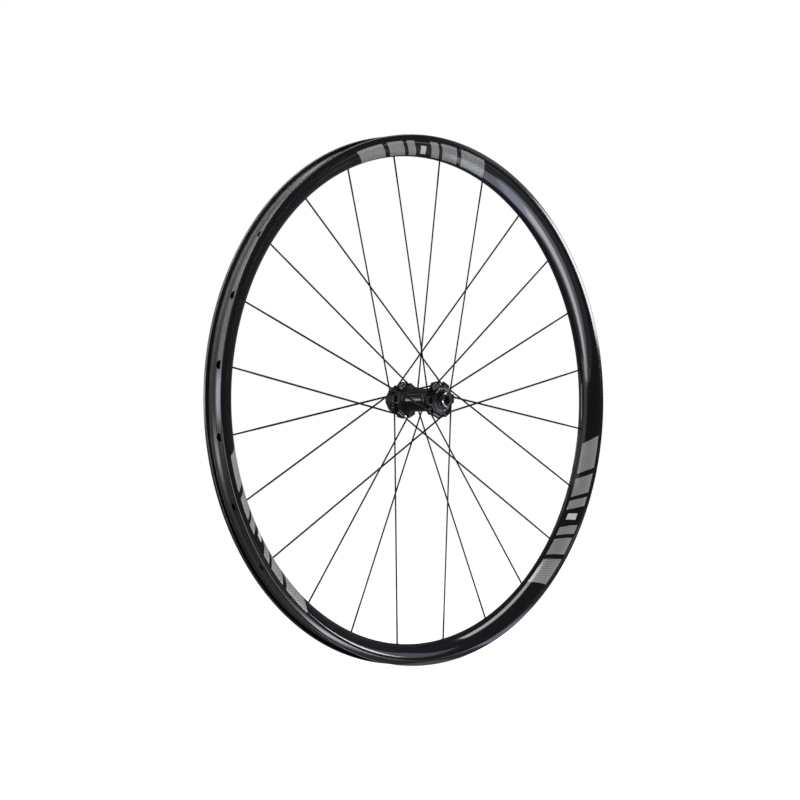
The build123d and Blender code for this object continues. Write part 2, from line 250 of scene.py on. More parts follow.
class WheelPolar(Effect):
    """Where a point lies on the wheel: angle from the top, radius from the axle, place along the axle."""

    name = "wheel_polar"

    def build(self, nodes: Nodes) -> None:
        """Fills the group's tree. The angle jumps at the bottom, where the valve hole is.

        Args:
            nodes: the group's tree.
        """
        place = nodes.add("ShaderNodeTexCoord").outputs["Object"]
        split = nodes.add("ShaderNodeSeparateXYZ", {0: place}).outputs
        across = nodes.math("MULTIPLY", split["X"], split["X"])
        radius = nodes.math("SQRT", nodes.math("MULTIPLY_ADD", split["Z"], split["Z"], across))
        nodes.leave(
            Kind.FLOAT,
            Angle=nodes.math("ARCTAN2", split["X"], split["Z"]),
            Radius=radius,
            Side=split["Y"],
            Cosine=nodes.math("DIVIDE", split["X"], radius),
            Sine=nodes.math("DIVIDE", split["Z"], radius),
        )

    def diagonals(self, nodes: Nodes, reach: Any) -> tuple[Socket, Socket]:
        """Puts the group into another tree and measures along the diagonals of the rim's face.

        Args:
            nodes: the other tree.
            reach: the radius that turns angles into lengths.

        Returns:
            The lengths along the rising and the falling diagonal.
        """
        polar = self.place(nodes)
        along = nodes.math("MULTIPLY", polar["Angle"], reach)
        return nodes.math("ADD", along, polar["Radius"]), nodes.math("SUBTRACT", along, polar["Radius"])


class FibreStreaks(Effect):
    """Long fine streaks that run round the wheel, as fibres lie in a moulded rim."""

    name = "fibre_streaks"
    along = 9.0
    across = 1600.0
    detail = 3.0
    fading = 0.6
    band = (0.3, 0.72)

    def build(self, nodes: Nodes) -> None:
        """Fills the group's tree.

        Args:
            nodes: the group's tree.
        """
        entry = nodes.entry({"Along": (Kind.FLOAT, self.along), "Across": (Kind.FLOAT, self.across)})
        polar = WheelPolar().place(nodes)
        where = nodes.join(
            X=nodes.math("MULTIPLY", polar["Cosine"], entry["Along"]),
            Y=nodes.math("MULTIPLY", polar["Side"], entry["Across"]),
            Z=nodes.math("MULTIPLY", polar["Sine"], entry["Along"]),
        )
        depth = nodes.math("MULTIPLY", polar["Radius"], entry["Across"])
        noise = {"Vector": where, "W": depth, "Scale": 1.0, "Detail": self.detail, "Roughness": self.fading}
        streak = nodes.out("ShaderNodeTexNoise", noise, noise_dimensions="4D")
        nodes.leave(Kind.FLOAT, Mask=nodes.ramp(streak, *self.band), Height=streak)


class BiasPly(Effect):
    """Faint slanted tows, as of a ply laid at an angle under the surface."""

    name = "bias_ply"
    reach = 0.305
    long = 90.0
    wide = 900.0
    detail = 2.0
    band = (0.38, 0.68)

    def build(self, nodes: Nodes) -> None:
        """Fills the group's tree.

        Args:
            nodes: the group's tree.
        """
        sizes = {"Reach": self.reach, "Long": self.long, "Wide": self.wide}
        entry = nodes.entry({name: (Kind.FLOAT, size) for name, size in sizes.items()})
        rising, falling = WheelPolar().diagonals(nodes, entry["Reach"])
        where = nodes.join(
            X=nodes.math("MULTIPLY", rising, entry["Long"]),
            Y=nodes.math("MULTIPLY", falling, entry["Wide"]),
        )
        noise = {"Vector": where, "Scale": 1.0, "Detail": self.detail}
        tow = nodes.out("ShaderNodeTexNoise", noise, noise_dimensions="2D")
        nodes.leave(Kind.FLOAT, Mask=nodes.ramp(tow, *self.band))


class TurningMarks(Effect):
    """Fine rings left by a lathe tool on a piece turned about the axle."""

    name = "turning_marks"
    pitch = 3500.0
    detail = 2.0
    band = (0.3, 0.7)

    def build(self, nodes: Nodes) -> None:
        """Fills the group's tree.

        Args:
            nodes: the group's tree.
        """
        pitch = nodes.entry({"Pitch": (Kind.FLOAT, self.pitch)})["Pitch"]
        polar = WheelPolar().place(nodes)
        where = nodes.join(
            X=nodes.math("MULTIPLY", polar["Radius"], pitch),
            Y=nodes.math("MULTIPLY", polar["Side"], pitch),
        )
        noise = {"Vector": where, "Scale": 1.0, "Detail": self.detail}
        ring = nodes.out("ShaderNodeTexNoise", noise, noise_dimensions="2D")
        nodes.leave(Kind.FLOAT, Mask=nodes.ramp(ring, *self.band), Height=ring)


class FineGrain(Effect):
    """Small even mottling, as of anodised, painted or moulded surfaces."""

    name = "fine_grain"
    scale = 900.0
    detail = 4.0
    fading = 0.65
    cloud_share = 0.06
    cloud_detail = 2.0
    band = (0.3, 0.7)

    def build(self, nodes: Nodes) -> None:
        """Fills the group's tree.

        Args:
            nodes: the group's tree.
        """
        scale = nodes.entry({"Scale": (Kind.FLOAT, self.scale)})["Scale"]
        place = nodes.add("ShaderNodeTexCoord").outputs["Object"]
        noise = {"Vector": place, "Scale": scale, "Detail": self.detail, "Roughness": self.fading}
        grain = nodes.out("ShaderNodeTexNoise", noise)
        broad = nodes.math("MULTIPLY", scale, self.cloud_share)
        noise = {"Vector": place, "Scale": broad, "Detail": self.cloud_detail}
        cloud = nodes.out("ShaderNodeTexNoise", noise)
        mask, mottle = (nodes.ramp(value, *self.band) for value in (grain, cloud))
        nodes.leave(Kind.FLOAT, Mask=mask, Cloud=mottle, Height=grain)


@dataclass(frozen=True)
class Finish:
    """What every finish holds: its name, the shader's plain values and how rough and raised its skin is."""

    name: str
    ior: float = 1.5
    metallic: float = 0.0
    coat: float = 0.0
    coat_roughness: float = 0.1
    satin: float = 0.3
    satin_spread: float = 0.1
    grain_scale: float = 1000.0
    relief: float = 0.00001

    def material(self) -> bpy.types.Material:
        """Makes the material.

        Returns:
            A material whose colour, roughness and relief come from its nodes.
        """
        made, nodes = Nodes.of_material(self.name)
        values = {
            "IOR": self.ior,
            "Metallic": self.metallic,
            "Coat Weight": self.coat,
            "Coat Roughness": self.coat_roughness,
        }
        shader = nodes.add("ShaderNodeBsdfPrincipled", values)
        nodes.add("ShaderNodeOutputMaterial", {"Surface": shader.outputs[0]})
        self.dress(nodes, shader.inputs)
        return made

    def dress(self, nodes: Nodes, shader: Any) -> None:
        """Links what changes over the surface to the shader's sockets."""
        raise NotImplementedError

    def roughness(self, nodes: Nodes, mask: Socket) -> Socket:
        """The roughness, which grows by its spread where a mask is one."""
        return nodes.math("MULTIPLY_ADD", mask, self.satin_spread, self.satin)

    def link(self, nodes: Nodes, shader: Any, colour: Socket, roughness: Socket, height: Socket) -> None:
        """Links a skin to the shader's sockets.

        Args:
            nodes: the material's tree.
            shader: the shader's inputs.
            colour: the skin's colour.
            roughness: the skin's roughness.
            height: the skin's height from 0 to 1, which is raised by the finish's relief.
        """
        nodes.feed(shader["Base Color"], colour)
        nodes.feed(shader["Roughness"], roughness)
        inputs = {"Height": height, "Distance": self.relief, "Strength": 1.0}
        nodes.feed(shader["Normal"], nodes.out("ShaderNodeBump", inputs))


@dataclass(frozen=True)
class CarbonFinish(Finish):
    """Glossy black moulded carbon: fibre streaks and slanted tows, and a paler, rougher tyre channel."""

    satin: float = 0.06
    satin_spread: float = 0.06
    grain_scale: float = 1300.0
    relief: float = 0.000001
    deep: Colour = (0.0032, 0.0032, 0.0046)
    streak: Colour = (0.007, 0.007, 0.0115)
    tow_share: float = 0.45
    channel_deep: Colour = (0.048, 0.048, 0.0465)
    channel_pale: Colour = (0.075, 0.075, 0.0725)
    channel_satin: float = 0.17
    channel_spread: float = 0.08
    channel_foot: float = 0.3078
    channel_top: float = 0.312
    channel_half_width: float = 0.0119
    crown_foot: float = 0.3158
    crown_half_width: float = 0.0145
    seam_softness: float = 0.0006

    def channel(self, nodes: Nodes) -> Socket:
        """Where the rim shows its rougher skin: the tyre bed and the crowns of the two flanges.

        Args:
            nodes: the material's tree.

        Returns:
            A mask that is one there.
        """
        polar = WheelPolar().place(nodes)
        soft = self.seam_softness
        reach = nodes.math("ABSOLUTE", polar["Side"])
        above = nodes.past(polar["Radius"], self.channel_foot, soft)
        below = nodes.within(polar["Radius"], self.channel_top, soft)
        between = nodes.within(reach, self.channel_half_width, soft)
        bed = nodes.math("MULTIPLY", nodes.math("MULTIPLY", above, below), between)
        top = nodes.past(polar["Radius"], self.crown_foot, soft)
        crown = nodes.math("MULTIPLY", top, nodes.within(reach, self.crown_half_width, soft))
        return nodes.math("MAXIMUM", bed, crown)

    def dress(self, nodes: Nodes, shader: Any) -> None:
        """Links what changes over the surface to the shader's sockets.

        Args:
            nodes: the material's tree.
            shader: the shader's inputs.
        """
        fibre = FibreStreaks().place(nodes)
        tows = BiasPly().place(nodes)
        grain = FineGrain().place(nodes, Scale=self.grain_scale)
        channel = self.channel(nodes)
        fibres = nodes.math("MULTIPLY", fibre["Mask"], 1 - self.tow_share)
        lay = nodes.math("MULTIPLY_ADD", tows["Mask"], self.tow_share, fibres)
        outside = nodes.mix(lay, self.deep, self.streak)
        inside = nodes.mix(grain["Mask"], self.channel_deep, self.channel_pale)
        rough = nodes.math("MULTIPLY_ADD", fibre["Mask"], self.channel_spread, self.channel_satin)
        roughness = nodes.blend(channel, self.roughness(nodes, lay), rough)
        self.link(nodes, shader, nodes.mix(channel, outside, inside), roughness, fibre["Height"])


@dataclass(frozen=True)
class DecalFinish(Finish):
    """Grey print on the rim, with an even slanted stipple of dots under a clear coat."""

    coat: float = 1.0
    satin: float = 0.36
    grain_scale: float = 700.0
    ink: Colour = (0.41, 0.41, 0.415)
    dot: Colour = (0.09, 0.09, 0.095)
    dot_pitch: float = 0.0022
    dot_edge: tuple[float, float] = (0.22, 0.48)
    mean_radius: float = 0.304

    def dress(self, nodes: Nodes, shader: Any) -> None:
        """Links what changes over the surface to the shader's sockets.

        Args:
            nodes: the material's tree.
            shader: the shader's inputs.
        """
        rising, falling = WheelPolar().diagonals(nodes, self.mean_radius)
        where = nodes.join(X=rising, Y=falling)
        cells = {"Vector": where, "Scale": math.sqrt(0.5) / self.dot_pitch, "Randomness": 0.0}
        dots = nodes.out("ShaderNodeTexVoronoi", cells, voronoi_dimensions="2D")
        stipple = nodes.ramp(dots, *self.dot_edge)
        grain = FineGrain().place(nodes, Scale=self.grain_scale)
        colour = nodes.mix(stipple, self.dot, self.ink)
        self.link(nodes, shader, colour, self.roughness(nodes, grain["Mask"]), stipple)


@dataclass(frozen=True)
class AnodisedFinish(Finish):
    """Black anodised alloy with faint turning marks."""

    satin: float = 0.1
    satin_spread: float = 0.09
    grain_scale: float = 1400.0
    relief: float = 0.000002
    deep: Colour = (0.002, 0.002, 0.0022)
    worn: Colour = (0.004, 0.004, 0.0045)
    mark_share: float = 0.5

    def dress(self, nodes: Nodes, shader: Any) -> None:
        """Links what changes over the surface to the shader's sockets.

        Args:
            nodes: the material's tree.
            shader: the shader's inputs.
        """
        marks = TurningMarks().place(nodes)
        grain = FineGrain().place(nodes, Scale=self.grain_scale)
        clouds = nodes.math("MULTIPLY", grain["Cloud"], 1 - self.mark_share)
        share = nodes.math("MULTIPLY_ADD", marks["Mask"], self.mark_share, clouds)
        colour = nodes.mix(share, self.deep, self.worn)
        self.link(nodes, shader, colour, self.roughness(nodes, grain["Mask"]), marks["Height"])


@dataclass(frozen=True)
class CapFinish(AnodisedFinish):
    """Black anodised alloy whose face edges were cut bright after anodising, with a dull grey bore."""

    relief: float = 0.00001
    bright: Colour = (0.2, 0.2, 0.205)
    inside: Colour = (0.25, 0.25, 0.25)
    face: float = 0.05
    bevel: float = 0.0011
    bevel_foot: tuple[float, float] = (1.0, 0.85)
    bevel_head: tuple[float, float] = (0.12, 0.02)
    bore_radius: float = 0.00635
    bore_softness: float = 0.0001

    def dress(self, nodes: Nodes, shader: Any) -> None:
        """Links what changes over the surface to the shader's sockets.

        Args:
            nodes: the material's tree.
            shader: the shader's inputs.
        """
        polar = WheelPolar().place(nodes)
        marks = TurningMarks().place(nodes)
        grain = FineGrain().place(nodes, Scale=self.grain_scale)
        reach = nodes.math("ABSOLUTE", polar["Side"])
        foot = [self.face - self.bevel * share for share in self.bevel_foot]
        head = [self.face - self.bevel * share for share in self.bevel_head]
        cut = nodes.math("MULTIPLY", nodes.ramp(reach, *foot), nodes.ramp(reach, *head, 1.0, 0.0))
        bore = nodes.within(polar["Radius"], self.bore_radius, self.bore_softness)
        edged = nodes.mix(cut, nodes.mix(marks["Mask"], self.deep, self.worn), self.bright)
        colour = nodes.mix(bore, edged, self.inside)
        nodes.feed(shader["Metallic"], nodes.math("SUBTRACT", cut, bore))
        self.link(nodes, shader, colour, self.roughness(nodes, grain["Mask"]), marks["Height"])


@dataclass(frozen=True)
class PaintedFinish(Finish):
    """Thin black paint over drawn steel wire."""

    satin: float = 0.34
    grain_scale: float = 1100.0
    relief: float = 0.000006
    deep: Colour = (0.002, 0.002, 0.0022)
    pale: Colour = (0.004, 0.004, 0.0044)

    def dress(self, nodes: Nodes, shader: Any) -> None:
        """Links what changes over the surface to the shader's sockets.

        Args:
            nodes: the material's tree.
            shader: the shader's inputs.
        """
        grain = FineGrain().place(nodes, Scale=self.grain_scale)
        colour = nodes.mix(grain["Cloud"], self.deep, self.pale)
        self.link(nodes, shader, colour, self.roughness(nodes, grain["Mask"]), grain["Height"])


@dataclass(frozen=True)
class MetalFinish(Finish):
    """Bare turned or ground metal."""

    metallic: float = 1.0
    satin: float = 0.25
    grain_scale: float = 1500.0
    relief: float = 0.000002
    dull: Colour = (0.42, 0.42, 0.43)
    bright: Colour = (0.6, 0.6, 0.61)

    def dress(self, nodes: Nodes, shader: Any) -> None:
        """Links what changes over the surface to the shader's sockets.

        Args:
            nodes: the material's tree.
            shader: the shader's inputs.
        """
        marks = TurningMarks().place(nodes)
        grain = FineGrain().place(nodes, Scale=self.grain_scale)
        colour = nodes.mix(marks["Mask"], self.dull, self.bright)
        self.link(nodes, shader, colour, self.roughness(nodes, grain["Mask"]), marks["Height"])


@dataclass(frozen=True)
class MouldedFinish(Finish):
    """Moulded rubber or nylon with a fine mottled skin."""

    satin: float = 0.55
    satin_spread: float = 0.12
    grain_scale: float = 1600.0
    relief: float = 0.00002
    deep: Colour = (0.012, 0.012, 0.012)
    pale: Colour = (0.022, 0.022, 0.022)

    def dress(self, nodes: Nodes, shader: Any) -> None:
        """Links what changes over the surface to the shader's sockets.

        Args:
            nodes: the material's tree.
            shader: the shader's inputs.
        """
        grain = FineGrain().place(nodes, Scale=self.grain_scale)
        colour = nodes.mix(grain["Mask"], self.deep, self.pale)
        self.link(nodes, shader, colour, self.roughness(nodes, grain["Cloud"]), grain["Height"])


@dataclass(frozen=True)
class Run:
    """One stretch of the rim's section in (radius, side): an arc about a centre, or a line if it has no arc.

    An arc's heading turns from first to last degrees, where 0 points to the axle and 90 along it.
    """

    start: Vector
    end: Vector
    centre: Vector | None = None
    first: float = 0.0
    last: float = 0.0
    hollow: bool = False

    @staticmethod
    def arc(centre: Vector, radius: float, first: float, last: float, hollow: bool = False) -> "Run":
        """An arc of the section about a centre."""
        start = centre + Run.heading(first) * radius
        return Run(start, centre + Run.heading(last) * radius, centre, first, last, hollow)

    @staticmethod
    def heading(angle: float) -> Vector:
        """The unit direction of an angle in degrees."""
        return Vector((-math.cos(math.radians(angle)), math.sin(math.radians(angle))))

    def length(self) -> float:
        """Measures the stretch.

        Returns:
            Its length.
        """
        if self.centre is None:
            return (self.end - self.start).length
        return abs(math.radians(self.last - self.first)) * (self.start - self.centre).length

    def at(self, share: float) -> tuple[Vector, Vector]:
        """Finds a place on the stretch.

        Args:
            share: how far along the stretch it lies, from 0 to 1.

        Returns:
            The point and the outward normal.
        """
        if self.centre is None:
            along = (self.end - self.start).normalized()
            return self.start.lerp(self.end, share), Vector((-along.y, along.x))
        out = self.heading(self.first + (self.last - self.first) * share)
        point = self.centre + out * (self.start - self.centre).length
        return point, (-out if self.hollow else out)


@dataclass
class RimSection:
    """The rim's section, from the spoke bed's middle over the flank and flange to the well's middle."""

    rim_radius: float
    bed_radius: float
    half_width: float
    seat_radius: float = 0.311
    inner_half_width: float = 0.0115
    nose_radius: float = 0.0081
    nose_tilt: float = 30.0
    shoulder_radius: float = 0.018
    shoulder_tilt: float = 60.0
    outer_round: float = 0.0016
    inner_round: float = 0.001
    root_round: float = 0.0008
    seat_width: float = 0.0038
    lock_height: float = 0.0004
    lock_width: float = 0.0009
    well_depth: float = 0.0025
    well_width: float = 0.0092
    bed_thickness: float = 0.0024
    wall_thickness: float = 0.0013
    shelf_thickness: float = 0.0015
    shelf_corner: float = 0.0015
    well_thickness: float = 0.0014
    arc_step: float = 5.0

    @property
    def well_radius(self) -> float:
        """The radius of the tyre well's floor."""
        return self.seat_radius - self.well_depth

    @property
    def flank_radius(self) -> float:
        """The radius of the bowed flank between the nose and the shoulder.

        Returns:
            The radius at which the flank meets both without a kink.
        """
        nose, shoulder = (math.sin(math.radians(x)) for x in (self.nose_tilt, self.shoulder_tilt))
        width = self.half_width - self.nose_radius * nose - self.shoulder_radius * (1 - shoulder)
        return width / (shoulder - nose)

    def centres(self) -> tuple[Vector, Vector, Vector]:
        """Finds the centres of the outer arcs.

        Returns:
            The centres of the nose, of the flank and of the shoulder.
        """
        nose = Vector((self.bed_radius + self.nose_radius, 0))
        flank = nose - Run.heading(self.nose_tilt) * (self.flank_radius - self.nose_radius)
        shoulder = flank + Run.heading(self.shoulder_tilt) * (self.flank_radius - self.shoulder_radius)
        return nose, flank, shoulder

    def outer_runs(self) -> list[Run]:
        """Draws the half of the outer section at positive side.

        Returns:
            Its runs in order.
        """
        nose, flank, shoulder = self.centres()
        outer_centre = Vector((self.rim_radius - self.outer_round, self.half_width - self.outer_round))
        inner_centre = Vector((self.rim_radius - self.inner_round, self.inner_half_width + self.inner_round))
        root_centre = Vector((self.seat_radius + self.root_round, self.inner_half_width - self.root_round))
        outer = Run.arc(outer_centre, self.outer_round, 90, 180)
        inner = Run.arc(inner_centre, self.inner_round, 180, 270)
        root = Run.arc(root_centre, self.root_round, 90, 0, hollow=True)
        seat_end = Vector((self.seat_radius, self.inner_half_width - self.seat_width))
        lock = seat_end + Vector((self.lock_height, -self.lock_width))
        well_side = Vector((self.well_radius, self.well_width / 2))
        return [
            Run.arc(nose, self.nose_radius, 0, self.nose_tilt),
            Run.arc(flank, self.flank_radius, self.nose_tilt, self.shoulder_tilt),
            Run.arc(shoulder, self.shoulder_radius, self.shoulder_tilt, 90),
            Run(Vector((shoulder.x, self.half_width)), outer.start),
            outer,
            Run(outer.end, inner.start),
            inner,
            Run(inner.end, root.start),
            root,
            Run(root.end, seat_end),
            Run(seat_end, lock),
            Run(lock, well_side),
            Run(well_side, Vector((self.well_radius, 0))),
        ]

    def sampled(self, runs: list[Run]) -> list[Vector]:
        """Takes points along runs, with the arcs in small steps.

        Args:
            runs: the runs in order.

        Returns:
            The points, without the last run's end.
        """
        points = []
        for run in runs:
            steps = 1 if run.centre is None else max(2, round(abs(run.last - run.first) / self.arc_step))
            points += [run.at(step / steps)[0] for step in range(steps)]
        return points

    @staticmethod
    def closed(half: list[Vector]) -> list[Vector]:
        """A whole section from its half at positive side."""
        return half + [Vector((p.x, -p.y)) for p in reversed(half) if abs(p.y) > TINY]

    def outer_points(self) -> list[Vector]:
        """The whole closed outer section as points."""
        return self.closed(self.sampled(self.outer_runs()) + [Vector((self.well_radius, 0))])

    def cavity_points(self) -> list[Vector]:
        """Draws the closed section of the hollow inside the rim.

        Returns:
            Its points in order.
        """
        _, flank, shoulder = self.centres()
        flank_radius = self.flank_radius - self.wall_thickness
        shoulder_radius = self.shoulder_radius - self.wall_thickness
        shelf = self.seat_radius - self.shelf_thickness
        floor = self.bed_radius + self.bed_thickness
        floor_tilt = math.degrees(math.acos((flank.x - floor) / flank_radius))
        shelf_tilt = math.degrees(math.acos((shoulder.x - shelf + self.shelf_corner) / shoulder_radius))
        sides = [
            Run.arc(flank, flank_radius, floor_tilt, self.shoulder_tilt),
            Run.arc(shoulder, shoulder_radius, self.shoulder_tilt, shelf_tilt),
        ]
        top = sides[-1].end
        half = self.sampled(sides) + [
            top,
            Vector((shelf, top.y - self.shelf_corner)),
            Vector((shelf, self.inner_half_width - self.seat_width - self.lock_width)),
            Vector((self.well_radius - self.well_thickness, self.well_width / 2)),
        ]
        return self.closed(half)


@dataclass(frozen=True)
class SpokeRow:
    """One row of spokes: its flange's place along the axle, its lean and the angle of its first rim hole."""

    name: str
    side: float
    lean: int
    first_angle: float


@dataclass
class SpokeLines:
    """The lines of the spokes, from the circle of hub bosses to the middle of the rim's spoke bed."""

    bed_radius: float
    boss_circle: float = 0.01855
    per_row: int = 6
    pitch: float = 15.0
    rows: tuple[SpokeRow, ...] = (
        SpokeRow("right_inner", -0.03225, -1, 127.5),
        SpokeRow("left_outer", 0.02715, 1, 112.5),
        SpokeRow("right_outer", -0.03665, 1, 97.5),
        SpokeRow("left_inner", 0.02275, -1, 82.5),
    )

    @staticmethod
    def around(radius: float, angle: float, side: float = 0.0) -> Vector:
        """A point at an angle in degrees round the wheel."""
        turn = math.radians(angle)
        return Vector((radius * math.cos(turn), side, radius * math.sin(turn)))

    def line(self, row: SpokeRow, number: int = 0) -> tuple[Vector, Vector]:
        """Finds one spoke's line.

        Args:
            row: the spoke's row.
            number: the spoke's place in its row.

        Returns:
            The point on the spoke bed and the unit direction towards the rim.
        """
        angle = row.first_angle - len(self.rows) * self.pitch * number
        sweep = math.degrees(math.acos(self.boss_circle / self.bed_radius))
        hub = self.around(self.boss_circle, angle + row.lean * sweep, row.side)
        rim = self.around(self.bed_radius, angle)
        return rim, (rim - hub).normalized()


class Workshop:
    """Calls that make, finish and place meshes."""

    ring_steps = 8
    ring_sides = 40

    @staticmethod
    def add_object(name: str, data: bpy.types.ID | None) -> bpy.types.Object:
        """Puts a new object at the origin of the scene.

        Args:
            name: the object's name.
            data: its mesh, curve, lamp or camera.

        Returns:
            The object.
        """
        made = bpy.data.objects.new(name, data)
        bpy.context.scene.collection.objects.link(made)
        return made

    @staticmethod
    def mesh_from(name: str, shape: bmesh.types.BMesh) -> bpy.types.Mesh:
        """Writes a bmesh to a new mesh with its faces pointing outwards.

        Args:
            name: the mesh's name.
            shape: the bmesh, which is freed.

        Returns:
            The mesh.
        """
        bmesh.ops.recalc_face_normals(shape, faces=shape.faces)
        mesh = bpy.data.meshes.new(name)
        shape.to_mesh(mesh)
        shape.free()
        return mesh

    @classmethod
    def sheet(cls, name: str, place: Matrix, width: float, height: float) -> bpy.types.Object:
        """Makes one flat rectangular face.

        Args:
            name: the object's name.
            place: where its middle lies and how it is turned.
            width: its size along its own X axis.
            height: its size along its own Y axis.

        Returns:
            The object.
        """
        shape = bmesh.new()
        bmesh.ops.create_grid(shape, x_segments=1, y_segments=1, size=0.5)
        size = Matrix.Diagonal((width, height, 1, 1))
        bmesh.ops.transform(shape, matrix=place @ size, verts=shape.verts)
        return cls.add_object(name, cls.mesh_from(name, shape))

    @classmethod
    def ring(cls, shape: bmesh.types.BMesh, place: Matrix, radius: float, thickness: float) -> None:
        """Adds a small round-edged ring to a bmesh.

        Args:
            shape: the bmesh.
            place: the ring's place, with Z as its axis.
            radius: the ring's radius.
            thickness: the radius of its round edge.
        """
        loops = []
        for n in range(cls.ring_sides):
            turn = 2 * math.pi * n / cls.ring_sides
            loop = []
            for k in range(cls.ring_steps):
                tilt = 2 * math.pi * k / cls.ring_steps
                reach = radius + thickness * math.cos(tilt)
                spot = Vector((reach * math.cos(turn), reach * math.sin(turn), thickness * math.sin(tilt)))
                loop.append(shape.verts.new(place @ spot))
            loops.append(loop)
        for one, two in zip(loops, loops[1:] + loops[:1]):
            for k in range(cls.ring_steps):
                after = (k + 1) % cls.ring_steps
                shape.faces.new((one[k], two[k], two[after], one[after]))

    @staticmethod
    def evaluated(host: bpy.types.Object) -> bpy.types.Mesh:
        """The host's mesh with its modifiers applied, as plain data."""
        graph = bpy.context.evaluated_depsgraph_get()
        return bpy.data.meshes.new_from_object(host.evaluated_get(graph), depsgraph=graph)

    @classmethod
    def grown(
        cls, name: str, tree: bpy.types.NodeTree, base: bpy.types.Mesh, values: dict[str, Any]
    ) -> bpy.types.Object:
        """Runs a Geometry Nodes tree and keeps its result as a plain mesh.

        Args:
            name: the piece's name.
            tree: the tree.
            base: the mesh that goes in as the tree's geometry.
            values: the tree's other inputs by name.

        Returns:
            The piece, with no modifier left.
        """
        host = cls.add_object(name, base)
        modifier = host.modifiers.new(tree.name, "NODES")
        modifier.node_group = tree
        sockets = {item.name: item.identifier for item in tree.interface.items_tree if item.in_out == "INPUT"}
        for key, value in values.items():
            modifier[sockets[key]] = value
        mesh = cls.evaluated(host)
        host.modifiers.remove(modifier)
        host.data = mesh
        mesh.name = name
        return host

    @staticmethod
    def smooth(mesh: bpy.types.Mesh, crease: float) -> None:
        """Shades a mesh smooth, apart from edges sharper than a crease in degrees."""
        mesh.shade_smooth()
        mesh.set_sharp_from_angle(angle=math.radians(crease))

    @staticmethod
    def along(point: Vector, way: Vector) -> Matrix:
        """The place of a piece at a point, with its Z axis along a direction."""
        return Matrix.Translation(point) @ way.to_track_quat("Z", "Y").to_matrix().to_4x4()

    @staticmethod
    def facing(place: Place, aim: Place, twist: float = 0.0) -> Matrix:
        """The place of a flat piece whose back is turned to where it aims, with its width level.

        Args:
            place: the piece's middle.
            aim: the point that its Z axis points away from.
            twist: a turn about that axis, in degrees.

        Returns:
            The piece's matrix.
        """
        back = (Vector(place) - Vector(aim)).normalized()
        level = Vector((-back.y, back.x, 0))
        side = level.normalized() if level.length > TINY else Vector((1, 0, 0))
        turn = Matrix((side, back.cross(side), back)).transposed().to_4x4()
        return Matrix.Translation(place) @ turn @ Matrix.Rotation(math.radians(twist), 4, "Z")

    @staticmethod
    def paint(piece: bpy.types.Object, material: bpy.types.Material) -> None:
        """Gives a piece one material."""
        piece.data.materials.clear()
        piece.data.materials.append(material)


